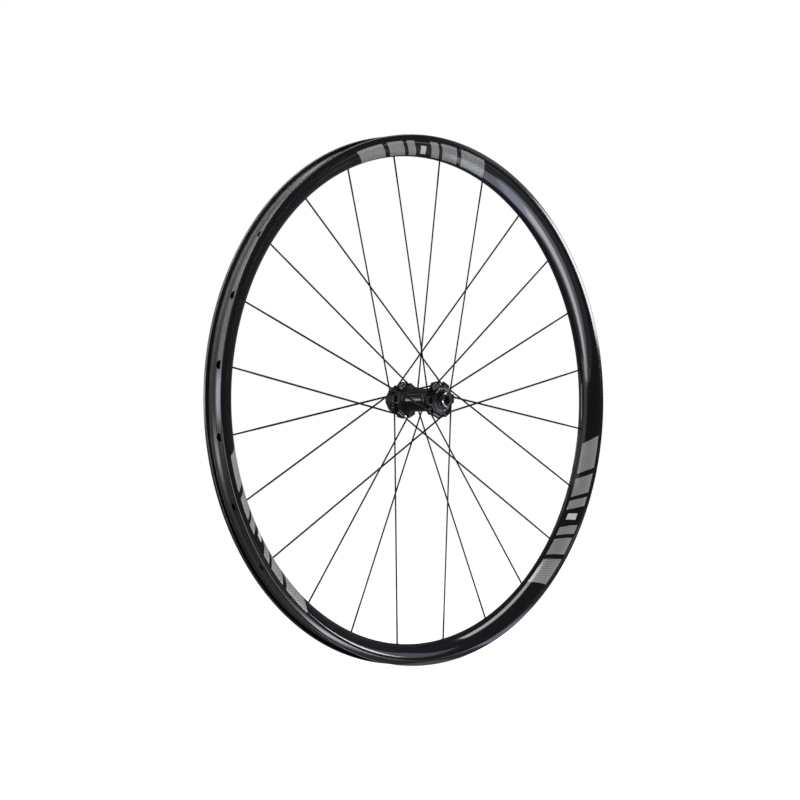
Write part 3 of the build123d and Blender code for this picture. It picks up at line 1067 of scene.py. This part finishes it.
class GrowthTrees:
    """The Geometry Nodes trees that the pieces grow from."""

    quarter_turn = math.pi / 2
    drill_sides = 36
    thread_steps = 64
    ridge_sides = 4

    @staticmethod
    def begin(name: str, inputs: dict[str, tuple[Kind, Any]]) -> tuple[Nodes, bpy.types.NodeOutputs]:
        """Starts a tree with a geometry input, its own inputs and a material input.

        Args:
            name: the tree's name.
            inputs: the type and first value of each of its own inputs.

        Returns:
            The calls for the tree, and what its inputs give.
        """
        nodes = Nodes(bpy.data.node_groups.new(name, "GeometryNodeTree"))
        every = {"Geometry": (Kind.GEOMETRY, None), **inputs, "Material": (Kind.MATERIAL, None)}
        return nodes, nodes.entry(every)

    @staticmethod
    def end(nodes: Nodes, shape: Socket, material: Socket) -> bpy.types.NodeTree:
        """Ends a tree in Realize Instances and Set Material.

        Args:
            nodes: the calls for the tree.
            shape: the finished shape.
            material: the material that it gets.

        Returns:
            The tree.
        """
        real = nodes.out("GeometryNodeRealizeInstances", {"Geometry": shape})
        done = nodes.out("GeometryNodeSetMaterial", {"Geometry": real, "Material": material})
        nodes.leave(Kind.GEOMETRY, Geometry=done)
        return nodes.tree

    @classmethod
    def swept(cls, nodes: Nodes, path: Socket, section: Socket) -> Socket:
        """Sweeps a section round a path and stands the result upright.

        Args:
            nodes: the calls for the tree.
            path: the path's curve.
            section: the object that holds the section's curve.

        Returns:
            The swept mesh.
        """
        curve = nodes.add("GeometryNodeObjectInfo", {"Object": section}).outputs["Geometry"]
        mesh = nodes.out("GeometryNodeCurveToMesh", {"Curve": path, "Profile Curve": curve})
        return nodes.out("GeometryNodeTransform", {"Geometry": mesh, "Rotation": (cls.quarter_turn, 0, 0)})

    @classmethod
    def drill(cls, nodes: Nodes, entry: bpy.types.NodeOutputs, hole: str) -> Socket:
        """A cylinder along Z, with a hole's radius and length."""
        inputs = {"Radius": entry[hole + " Radius"], "Depth": entry[hole + " Length"]}
        return nodes.out("GeometryNodeMeshCylinder", {"Vertices": cls.drill_sides, **inputs})

    @staticmethod
    def copies(nodes: Nodes, points: Socket, shape: Socket, turn: Socket) -> Socket:
        """A shape at each point, turned there by its own rotation."""
        inputs = {"Points": points, "Instance": shape, "Rotation": turn}
        return nodes.out("GeometryNodeInstanceOnPoints", inputs)

    @classmethod
    def holes(cls, nodes: Nodes, points: Socket, heading: Socket, tool: Socket) -> Socket:
        """A drill at each point, along a heading."""
        turn = nodes.out("FunctionNodeAlignRotationToVector", {"Vector": heading}, axis="Z")
        return cls.copies(nodes, points, tool, turn)

    @classmethod
    def rim_sweep(cls) -> bpy.types.NodeTree:
        """Sweeps the rim's section round the axle, hollows it and drills its holes.

        Returns:
            The tree. The points that go in lie on the spoke bed and carry the direction of their spokes.
        """
        nodes, entry = cls.begin(
            "rim_sweep",
            {
                "Section": (Kind.OBJECT, None),
                "Cavity": (Kind.OBJECT, None),
                "Segments": (Kind.INT, 384),
                "Path Radius": (Kind.FLOAT, 0.3),
                "Spoke Hole Radius": (Kind.FLOAT, 0.0015),
                "Spoke Hole Length": (Kind.FLOAT, 0.0064),
                "Access Hole Radius": (Kind.FLOAT, 0.0042),
                "Access Hole Length": (Kind.FLOAT, 0.0054),
                "Access Hole Share": (Kind.FLOAT, 1.05),
                "Valve Hole Radius": (Kind.FLOAT, 0.00325),
                "Valve Hole Length": (Kind.FLOAT, 0.03),
            },
        )
        inputs = {"Resolution": entry["Segments"], "Radius": entry["Path Radius"]}
        circle = nodes.out("GeometryNodeCurvePrimitiveCircle", inputs)
        path = nodes.out("GeometryNodeSetCurveNormal", {"Curve": circle}, mode="Z_UP")
        points = entry["Geometry"]
        place = nodes.out("GeometryNodeInputPosition")
        heading = nodes.out("GeometryNodeInputNamedAttribute", {"Name": "heading"}, data_type="FLOAT_VECTOR")
        inputs = {0: place, "Scale": entry["Access Hole Share"]}
        outward = nodes.out("ShaderNodeVectorMath", inputs, operation="SCALE")
        raised = nodes.out("GeometryNodeSetPosition", {"Geometry": points, "Position": outward})
        spoke_holes = cls.holes(nodes, points, heading, cls.drill(nodes, entry, "Spoke Hole"))
        access = cls.holes(nodes, raised, place, cls.drill(nodes, entry, "Access Hole"))
        low = nodes.join(Z=nodes.math("MULTIPLY", entry["Path Radius"], -1.0))
        inputs = {"Geometry": cls.drill(nodes, entry, "Valve Hole"), "Translation": low}
        valve = nodes.out("GeometryNodeTransform", inputs)
        tools = nodes.add("GeometryNodeJoinGeometry")
        for tool in (valve, access, spoke_holes):
            nodes.feed(tools.inputs[0], tool)
        cutters = nodes.out("GeometryNodeRealizeInstances", {"Geometry": tools.outputs[0]})
        solid, cavity = (cls.swept(nodes, path, entry[name]) for name in ("Section", "Cavity"))
        cut = nodes.add("GeometryNodeMeshBoolean", {0: solid}, operation="DIFFERENCE", solver="MANIFOLD")
        for cutter in (cutters, cavity):
            nodes.feed(cut.inputs["Mesh 2"], cutter)
        return cls.end(nodes, cut.outputs[0], entry["Material"])

    @classmethod
    def ring_repeat(cls) -> bpy.types.NodeTree:
        """Repeats a mesh at even steps round the axle.

        Returns:
            The tree.
        """
        nodes, entry = cls.begin("ring_repeat", {"Count": (Kind.INT, 6)})
        points = nodes.out("GeometryNodePoints", {"Count": entry["Count"]})
        index = nodes.out("GeometryNodeInputIndex")
        step = nodes.math("DIVIDE", 2 * math.pi, entry["Count"])
        turn = nodes.join(Y=nodes.math("MULTIPLY", index, step))
        return cls.end(nodes, cls.copies(nodes, points, entry["Geometry"], turn), entry["Material"])

    @classmethod
    def screw_thread(cls) -> bpy.types.NodeTree:
        """Winds a ridge about the axle, as of a cut thread.

        Returns:
            The tree.
        """
        nodes, entry = cls.begin(
            "screw_thread",
            {
                "Turns": (Kind.FLOAT, 4.0),
                "Radius": (Kind.FLOAT, 0.0145),
                "Length": (Kind.FLOAT, 0.004),
                "Ridge": (Kind.FLOAT, 0.0004),
                "Start": (Kind.FLOAT, 0.0354),
            },
        )
        inputs = {
            "Resolution": cls.thread_steps,
            "Rotations": entry["Turns"],
            "Start Radius": entry["Radius"],
            "End Radius": entry["Radius"],
            "Height": entry["Length"],
        }
        spiral = nodes.out("GeometryNodeCurveSpiral", inputs)
        inputs = {"Resolution": cls.ridge_sides, "Radius": entry["Ridge"]}
        ridge = nodes.out("GeometryNodeCurvePrimitiveCircle", inputs)
        inputs = {"Curve": spiral, "Profile Curve": ridge, "Fill Caps": True}
        thread = nodes.out("GeometryNodeCurveToMesh", inputs)
        inputs = {
            "Geometry": thread,
            "Rotation": (-cls.quarter_turn, 0, 0),
            "Translation": nodes.join(Y=entry["Start"]),
        }
        placed = nodes.out("GeometryNodeTransform", inputs)
        flat = nodes.out("GeometryNodeSetShadeSmooth", {"Geometry": placed, "Shade Smooth": False})
        return cls.end(nodes, flat, entry["Material"])


@dataclass
class Rim:
    """The moulded rim: its swept body and the moulded edges of its holes."""

    section: RimSection
    spokes: SpokeLines
    finish: CarbonFinish = CarbonFinish("rim_gloss_carbon")
    segments: int = 384
    crease: float = 32.0
    spoke_hole_radius: float = 0.0015
    access_hole_radius: float = 0.005
    valve_hole_radius: float = 0.00325
    overrun: float = 0.002
    edge_thickness: float = 0.00022

    @property
    def path_radius(self) -> float:
        """The radius of the circle that the section is swept along."""
        return (self.section.rim_radius + self.section.bed_radius) / 2

    def section_curve(self, name: str, points: list[Vector]) -> bpy.types.Object:
        """Makes a closed curve of section points, measured from the middle of the sweep's path.

        Args:
            name: the curve's name.
            points: the section's points.

        Returns:
            The object that holds the curve.
        """
        data = bpy.data.curves.new(name, "CURVE")
        data.dimensions = "3D"
        spline = data.splines.new("POLY")
        spline.points.add(len(points) - 1)
        for spot, point in zip(spline.points, points):
            spot.co = (point.x - self.path_radius, point.y, 0, 1)
        spline.use_cyclic_u = True
        return Workshop.add_object(name, data)

    def spoke_points(self) -> bpy.types.Mesh:
        """Marks where the spokes meet the rim.

        Returns:
            Points on the spoke bed, each with the direction of its spoke.
        """
        lines = [self.spokes.line(row, n) for row in self.spokes.rows for n in range(self.spokes.per_row)]
        mesh = bpy.data.meshes.new("spoke_points")
        mesh.from_pydata([point for point, _ in lines], [], [])
        heading = mesh.attributes.new("heading", "FLOAT_VECTOR", "POINT")
        for item, (_, way) in zip(heading.data, lines):
            item.vector = way
        return mesh

    def body(self, material: bpy.types.Material) -> bpy.types.Object:
        """Makes the hollow rim with its holes, which stands for the frame's rim.

        Args:
            material: the rim's material.

        Returns:
            The piece.
        """
        outer = self.section_curve("rim_section", self.section.outer_points())
        cavity = self.section_curve("rim_cavity", self.section.cavity_points())
        floor = self.section.well_radius - self.section.well_thickness / 2
        depth = self.section.rim_radius - self.section.bed_radius
        values = {
            "Section": outer,
            "Cavity": cavity,
            "Segments": self.segments,
            "Path Radius": self.path_radius,
            "Spoke Hole Radius": self.spoke_hole_radius,
            "Spoke Hole Length": self.section.bed_thickness + 2 * self.overrun,
            "Access Hole Radius": self.access_hole_radius,
            "Access Hole Length": self.section.well_thickness + 2 * self.overrun,
            "Access Hole Share": floor / self.spokes.bed_radius,
            "Valve Hole Radius": self.valve_hole_radius,
            "Valve Hole Length": depth + 2 * self.overrun,
            "Material": material,
        }
        rim = Workshop.grown("rim_moulding", GrowthTrees.rim_sweep(), self.spoke_points(), values)
        for helper in (outer, cavity):
            bpy.data.objects.remove(helper)
        Workshop.smooth(rim.data, self.crease)
        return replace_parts(rim, "rim")

    def hole_edges(self, material: bpy.types.Material) -> list[bpy.types.Object]:
        """Makes the raised resin edges of the holes.

        Args:
            material: the rim's material.

        Returns:
            The edges of the access holes and those of the spoke holes.
        """
        spokes, section, repeat = self.spokes, self.section, GrowthTrees.ring_repeat()
        out = spokes.around(1.0, spokes.rows[0].first_angle)
        place = Workshop.along(out * section.well_radius, out)
        access = bmesh.new()
        Workshop.ring(access, place, self.access_hole_radius, self.edge_thickness)
        drilled = bmesh.new()
        for row in spokes.rows:
            point, way = spokes.line(row)
            place = Workshop.along(point * (section.bed_radius / spokes.bed_radius), way)
            Workshop.ring(drilled, place, self.spoke_hole_radius, self.edge_thickness)
        edges = (
            ("access_hole_edges", access, spokes.per_row * len(spokes.rows)),
            ("spoke_hole_edges", drilled, spokes.per_row),
        )
        made = []
        for name, shape, count in edges:
            base = Workshop.mesh_from(name, shape)
            piece = Workshop.grown(name, repeat, base, {"Count": count, "Material": material})
            piece.data.shade_smooth()
            made.append(piece)
        return made

    def build(self) -> list[bpy.types.Object]:
        """Makes and dresses the rim's pieces.

        Returns:
            The pieces.
        """
        material = self.finish.material()
        pieces = [self.body(material), *self.hole_edges(material)]
        for piece in pieces:
            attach(piece, Body.WHEEL.value)
        return pieces


@dataclass
class SlantedBars:
    """Plain slanted bars printed on both of the rim's faces, in three groups round the wheel."""

    section: RimSection
    name: str = "decal_bars"
    finish: DecalFinish = DecalFinish("decal_grey_stipple", coat_roughness=0.12)
    groups: int = 3
    middle: float = 90.0
    bars: tuple[tuple[float, float], ...] = (
        (-20.0, 7.8),
        (-10.8, 4.8),
        (-4.9, 2.4),
        (2.5, 2.4),
        (6.0, 4.8),
        (12.2, 7.8),
    )
    slant: float = 2.6
    inner_reach: float = 0.0045
    outer_reach: float = 0.0252
    lift: float = 0.00005
    root: float = 0.00006
    across: int = 12
    along: int = 14
    crease: float = 40.0

    def surface(self, reach: float) -> tuple[Vector, Vector]:
        """Finds a place on the rim's outer skin.

        Args:
            reach: its distance along the section from the spoke bed's middle.

        Returns:
            The section's point and normal there.
        """
        for run in self.section.outer_runs():
            length = run.length()
            if reach <= length:
                return run.at(reach / length)
            reach -= length
        raise ValueError("the bar reaches past the section")

    def bar(self, shape: bmesh.types.BMesh, start: float, width: float, hand: int) -> None:
        """Adds one bar to a bmesh as a thin closed plate.

        Args:
            shape: the bmesh.
            start: the bar's first edge, in degrees from the group's middle.
            width: the bar's width in degrees.
            hand: 1 for the left face and -1 for the right one.
        """
        layers = []
        for rise in (self.lift, -self.root):
            grid = []
            for j in range(self.along + 1):
                share = j / self.along
                point, normal = self.surface(self.inner_reach + (self.outer_reach - self.inner_reach) * share)
                spot = point + normal * rise
                lean = self.slant * (share - 0.5)
                row = []
                for i in range(self.across + 1):
                    angle = self.middle - hand * (start + lean + width * i / self.across)
                    row.append(shape.verts.new(SpokeLines.around(spot.x, angle, hand * spot.y)))
                grid.append(row)
            layers.append(grid)
        top, bottom = layers
        for j in range(self.along):
            for i in range(self.across):
                for grid in layers:
                    shape.faces.new((grid[j][i], grid[j][i + 1], grid[j + 1][i + 1], grid[j + 1][i]))
        edge = [(0, i) for i in range(self.across)]
        edge += [(j, self.across) for j in range(self.along)]
        edge += [(self.along, i) for i in range(self.across, 0, -1)]
        edge += [(j, 0) for j in range(self.along, 0, -1)]
        for (a, b), (c, d) in zip(edge, edge[1:] + edge[:1]):
            shape.faces.new((top[a][b], top[c][d], bottom[c][d], bottom[a][b]))

    def build(self) -> bpy.types.Object:
        """Makes and dresses the bars.

        Returns:
            The piece.
        """
        shape = bmesh.new()
        for start, width in self.bars:
            for hand in (-1, 1):
                self.bar(shape, start, width, hand)
        base = Workshop.mesh_from(self.name + "_group", shape)
        values = {"Count": self.groups, "Material": self.finish.material()}
        piece = Workshop.grown(self.name, GrowthTrees.ring_repeat(), base, values)
        Workshop.smooth(piece.data, self.crease)
        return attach(piece, Body.WHEEL.value)


@dataclass
class WhiteMarks(SlantedBars):
    """One small plain white mark in the middle of each group of bars."""

    name: str = "decal_marks"
    finish: DecalFinish = DecalFinish("decal_white", ink=(0.72, 0.72, 0.72), dot=(0.66, 0.66, 0.66))
    bars: tuple[tuple[float, float], ...] = ((-0.85, 1.7),)
    slant: float = 0.9
    inner_reach: float = 0.008
    outer_reach: float = 0.0195


@dataclass
class Hub:
    """The machined hub shell with its edges broken, and the thread that holds a brake rotor's lockring."""

    finish: AnodisedFinish = AnodisedFinish("hub_black_anodised", ior=1.45)
    merge_distance: float = 1e-6
    voxel: float = 0.00038
    softness: float = 0.5
    smoothing: int = 4
    most_triangles: int = 170000
    thread_pitch: float = 0.001
    ridge_share: float = 0.45
    thread_start: float = 0.0354
    thread_length: float = 0.0042
    thread_radius: float = 0.01455

    def shell(self, material: bpy.types.Material) -> bpy.types.Object:
        """Rounds the edges of the frame's hub shell, as it leaves the polishing drum.

        Args:
            material: the hub's material.

        Returns:
            The piece.
        """
        shape = bmesh.new()
        shape.from_mesh(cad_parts["hub_shell"].data)
        bmesh.ops.remove_doubles(shape, verts=shape.verts, dist=self.merge_distance)
        mesh = bpy.data.meshes.new("hub_machined")
        shape.to_mesh(mesh)
        shape.free()
        shell = Workshop.add_object("hub_machined", mesh)
        remesh = shell.modifiers.new("even_faces", "REMESH")
        remesh.mode = "VOXEL"
        remesh.voxel_size = self.voxel
        soften = shell.modifiers.new("soft_edges", "SMOOTH")
        soften.factor = self.softness
        soften.iterations = self.smoothing
        even = Workshop.evaluated(shell)
        even.calc_loop_triangles()
        thin = shell.modifiers.new("thin_out", "DECIMATE")
        thin.ratio = min(1.0, self.most_triangles / len(even.loop_triangles))
        done = Workshop.evaluated(shell)
        shell.modifiers.clear()
        shell.data = done
        done.shade_smooth()
        Workshop.paint(shell, material)
        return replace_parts(shell, "hub_shell")

    def thread(self, material: bpy.types.Material) -> bpy.types.Object:
        """Cuts the lockring's thread in the hub's left end.

        Args:
            material: the hub's material.

        Returns:
            The piece.
        """
        values = {
            "Turns": self.thread_length / self.thread_pitch,
            "Radius": self.thread_radius,
            "Length": self.thread_length,
            "Ridge": self.thread_pitch * self.ridge_share,
            "Start": self.thread_start,
            "Material": material,
        }
        base = bpy.data.meshes.new("thread")
        return Workshop.grown("lockring_thread", GrowthTrees.screw_thread(), base, values)

    def build(self) -> list[bpy.types.Object]:
        """Makes and dresses the hub's pieces.

        Returns:
            The pieces.
        """
        material = self.finish.material()
        pieces = [self.shell(material), self.thread(material)]
        for piece in pieces:
            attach(piece, Body.WHEEL.value)
        return pieces


@dataclass
class FramePieces:
    """Finishes for the frame's own pieces, chosen by the words in their names."""

    finishes: tuple[tuple[str, Finish], ...] = (
        ("spoke_", PaintedFinish("spoke_black_paint", ior=1.25)),
        ("end_cap", CapFinish("cap_black_anodised", ior=1.6)),
        ("axle_tube", MetalFinish("axle_turned_alloy")),
        ("nipples", MetalFinish("nipple_alloy", satin=0.3)),
        (
            "race",
            MetalFinish("race_ground_steel", satin=0.28, dull=(0.22, 0.22, 0.23), bright=(0.32, 0.32, 0.33)),
        ),
        (
            "balls",
            MetalFinish(
                "ball_polished_steel", satin=0.05, dull=(0.55, 0.55, 0.56), bright=(0.62, 0.62, 0.63)
            ),
        ),
        (
            "cage",
            MouldedFinish("cage_nylon", satin=0.45, deep=(0.05, 0.045, 0.035), pale=(0.08, 0.07, 0.055)),
        ),
        ("seal", MouldedFinish("seal_rubber")),
        ("o_ring", MouldedFinish("ring_rubber", satin=0.5)),
    )

    def build(self) -> int:
        """Dresses each node that still shows.

        Returns:
            How many nodes were dressed.
        """
        materials = {word: finish.material() for word, finish in self.finishes}
        dressed = 0
        for name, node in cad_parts.items():
            for word, material in materials.items():
                if word in name and not node.hide_render:
                    for slot in node.material_slots:
                        slot.material = material
                    dressed += 1
                    break
        return dressed


@dataclass
class PhotoCamera:
    """The photograph's camera: where it stands round the wheel, and where the wheel lies in its frame."""

    azimuth: float = -43.932
    elevation: float = -0.1145
    roll: float = -0.4013
    distance: float = 2.719
    focal_px: float = 2268.04
    centre_px: tuple[float, float] = (418.65, 400.08)
    image_px: float = 800.0
    sensor_mm: float = 36.0

    def build(self) -> bpy.types.Object:
        """Makes the camera and gives it to the scene.

        Returns:
            The camera.
        """
        a, e, t = (math.radians(x) for x in (self.azimuth, self.elevation, self.roll))
        back = Vector((math.sin(a) * math.cos(e), -math.cos(a) * math.cos(e), math.sin(e)))
        level = Vector((math.cos(a), math.sin(a), 0))
        up = back.cross(level)
        across = level * math.cos(t) + up * math.sin(t)
        above = up * math.cos(t) - level * math.sin(t)
        data = bpy.data.cameras.new("photo_camera")
        data.sensor_width = self.sensor_mm
        data.lens = self.focal_px * self.sensor_mm / self.image_px
        data.shift_x = 0.5 - self.centre_px[0] / self.image_px
        data.shift_y = self.centre_px[1] / self.image_px - 0.5
        camera = Workshop.add_object("photo_camera", data)
        turn = Matrix((across, above, back)).transposed().to_4x4()
        camera.matrix_world = Matrix.Translation(back * self.distance) @ turn
        bpy.context.scene.camera = camera
        return camera


@dataclass(frozen=True)
class Softbox:
    """One soft rectangular lamp, which shows in gloss, on matte faces or in both."""

    name: str
    place: Place
    width: float
    height: float
    power: float
    aim: Place = (0.0, 0.0, 0.0)
    twist: float = 0.0
    tint: Colour = WHITE
    reach: Reach = Reach.ALL

    def build(self) -> bpy.types.Object:
        """Makes the lamp.

        Returns:
            The lamp.
        """
        data = bpy.data.lights.new(self.name, "AREA")
        data.shape = "RECTANGLE"
        data.size, data.size_y = self.width, self.height
        data.energy = self.power
        data.color = self.tint
        lamp = Workshop.add_object(self.name, data)
        lamp.matrix_world = Workshop.facing(self.place, self.aim, self.twist)
        lamp.visible_camera = False
        lamp.visible_diffuse = self.reach is not Reach.GLOSS
        lamp.visible_glossy = self.reach is not Reach.MATTE
        return lamp


@dataclass(frozen=True)
class DarkCard:
    """A dark flag beside the wheel, which shows only in reflections."""

    name: str
    place: Place
    width: float
    height: float
    aim: Place
    shade: float = CARD_SHADE

    def build(self) -> bpy.types.Object:
        """Makes the card.

        Returns:
            The card.
        """
        card = Workshop.sheet(self.name, Workshop.facing(self.place, self.aim), self.width, self.height)
        made, nodes = Nodes.of_material(self.name)
        cloth = nodes.out("ShaderNodeEmission", {"Strength": self.shade})
        nodes.add("ShaderNodeOutputMaterial", {"Surface": cloth})
        Workshop.paint(card, made)
        card.visible_camera = card.visible_diffuse = card.visible_shadow = card.visible_transmission = False
        card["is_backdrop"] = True
        return card


def up_from(place: Place) -> Place:
    """A point straight above a place, for what lies on the floor to aim at."""
    return (place[0], place[1], 1.0)


def floor_strip(
    name: str, place: Place, width: float, height: float, power: float, twist: float, tint: Colour = WHITE
) -> Softbox:
    """A lamp that lies on the floor, shines up and shows in gloss alone."""
    return Softbox(name, place, width, height, power, up_from(place), twist, tint, Reach.GLOSS)


def floor_mat(name: str, place: Place, width: float, height: float, shade: float = CARD_SHADE) -> DarkCard:
    """A dark card that lies on the floor."""
    return DarkCard(name, place, width, height, up_from(place), shade)


@dataclass
class Studio:
    """A pale floor, a white surround, soft lamps and dark cards."""

    floor_level: float
    floor_reach: float = 30.0
    floor_colour: Colour = (0.3, 0.3, 0.3)
    floor_glow: float = 0.97
    ambient: float = 0.12
    lamps: tuple[Softbox, ...] = (
        Softbox("key_softbox", (3.2, -1.9, 0.35), 1.2, 1.2, 124.0, reach=Reach.MATTE),
        Softbox("loft_softbox", (-0.557, 0.12, 0.5), 0.35, 0.2, 7.5, (-0.2, 0.0, 0.2), reach=Reach.MATTE),
        Softbox("top_softbox", (0.45, -0.5, 1.6), 1.5, 0.47, 15.5, (0.45, -0.5, 0.0), tint=WARM),
        Softbox("right_strip", (2.22, -1.745, 0.32), 0.27, 0.34, 5.2, (0.0, 0.0, 0.32), reach=Reach.GLOSS),
        Softbox("right_panel", (2.25, -1.5, 1.0), 1.0, 0.95, 4.5, (0.0, 0.0, 0.4), 0.0, BLUISH, Reach.GLOSS),
        floor_strip("near_strip", (-0.33, -0.572, -0.31), 1.14, 0.24, 5.9, -26.3),
        floor_strip("near_halo", (-0.256, -0.65, -0.311), 1.3, 0.62, 6.2, -26.3, BLUISH),
        floor_strip("blue_strip", (0.3, -0.275, -0.31), 0.36, 0.42, 1.2, -26.3, BLUISH),
        floor_strip("far_strip", (-1.475, -1.165, -0.31), 1.42, 0.55, 12.3, -28.2),
        Softbox("left_strip", (-2.0, 1.95, 0.06), 0.5, 0.6, 6.0, (0.0, 0.0, 0.06), 0.0, BLUISH, Reach.GLOSS),
        Softbox("left_tower", (-2.05, 2.0, 0.55), 0.32, 1.7, 5.0, (0.0, 0.0, 0.55), 0.0, BLUISH, Reach.GLOSS),
    )
    cards: tuple[DarkCard, ...] = (
        DarkCard("front_card", (-0.5, -2.35, 0.85), 5.9, 2.4, (-0.5, 0.0, 0.85)),
        DarkCard("right_card", (2.4, 0.0, 0.85), 4.8, 2.4, (0.0, 0.0, 0.85)),
        DarkCard("back_card", (1.0, 2.4, 0.85), 2.9, 2.4, (1.0, 0.0, 0.85)),
        DarkCard("left_card", (-2.3, 2.1, 0.85), 2.4, 2.4, (0.0, 0.0, 0.85)),
        DarkCard("roof_card", (0.0, 0.0, 2.05), 5.0, 4.75, (0.0, 0.0, 0.0)),
        floor_mat("right_mat", (1.7, -0.7, -0.312), 1.5, 1.5),
        floor_mat("back_mat", (-0.08, 1.22, -0.312), 5.05, 2.35),
        floor_mat("front_mat", (0.3, -1.16, -0.312), 2.4, 2.4, shade=0.4),
    )

    @staticmethod
    def seen(nodes: Nodes) -> Socket:
        """Tells apart the rays that see a surface from those that are lit by it.

        Args:
            nodes: the calls for the tree.

        Returns:
            One for rays from the camera, from gloss and through glass, and nought for the rest.
        """
        path = nodes.add("ShaderNodeLightPath").outputs
        shiny = nodes.math("MAXIMUM", path["Is Glossy Ray"], path["Is Transmission Ray"])
        return nodes.math("MAXIMUM", path["Is Camera Ray"], shiny)

    def floor(self) -> bpy.types.Object:
        """Makes the floor, white where it is lit, which keeps the wheel's soft shadow.

        Returns:
            The floor.
        """
        place = Matrix.Translation((0, 0, self.floor_level))
        floor = Workshop.sheet("floor", place, 2 * self.floor_reach, 2 * self.floor_reach)
        made, nodes = Nodes.of_material("floor_paper")
        paper = nodes.out("ShaderNodeBsdfDiffuse", {"Color": (*self.floor_colour, 1)})
        glow = nodes.math("MULTIPLY", self.seen(nodes), self.floor_glow)
        light = nodes.out("ShaderNodeEmission", {"Color": (*WHITE, 1), "Strength": glow})
        both = nodes.out("ShaderNodeAddShader", {0: paper, 1: light})
        nodes.add("ShaderNodeOutputMaterial", {"Surface": both})
        Workshop.paint(floor, made)
        floor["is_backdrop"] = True
        return floor

    def world(self) -> None:
        """Makes the surround: white to the eye and in reflections, and a soft even light."""
        world = bpy.data.worlds.new("studio")
        bpy.context.scene.world = world
        world.use_nodes = True
        nodes = Nodes(world.node_tree)
        strength = nodes.math("MULTIPLY_ADD", self.seen(nodes), 1.0 - self.ambient, self.ambient)
        white = nodes.out("ShaderNodeBackground", {"Color": (*WHITE, 1), "Strength": strength})
        nodes.add("ShaderNodeOutputWorld", {"Surface": white})

    def build(self) -> None:
        """Makes the floor, the surround, the lamps and the cards."""
        bpy.context.scene.view_settings.view_transform = "Standard"
        self.floor()
        self.world()
        for piece in (*self.lamps, *self.cards):
            piece.build()


def rim_section() -> RimSection:
    """The rim's section, with its outer sizes read from the frame.

    Returns:
        The section.
    """
    low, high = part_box("rim")
    bed = min(math.hypot(v.co.x, v.co.z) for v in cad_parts["rim"].data.vertices)
    return RimSection(rim_radius=(high.x - low.x) / 2, bed_radius=bed, half_width=high.y)


def main() -> None:
    """Builds the wheel's pieces in order, then the studio and the camera."""
    logging.basicConfig(level=logging.INFO, format="%(name)s: %(message)s")
    cad_box = [list(corner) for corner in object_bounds()]
    section = rim_section()
    spokes = SpokeLines(section.bed_radius + section.bed_thickness / 2)
    pieces = Rim(section, spokes).build()
    pieces.append(SlantedBars(section).build())
    pieces.append(WhiteMarks(section).build())
    pieces += Hub().build()
    for piece in pieces:
        piece.data.calc_loop_triangles()
        LOG.info("%s: %d triangles", piece.name, len(piece.data.loop_triangles))
    LOG.info("dressed %d of the frame's own pieces", FramePieces().build())
    Studio(floor_level=cad_box[0][2]).build()
    PhotoCamera().build()
    LOG.info("size written")


if __name__ == "__main__":
    main()
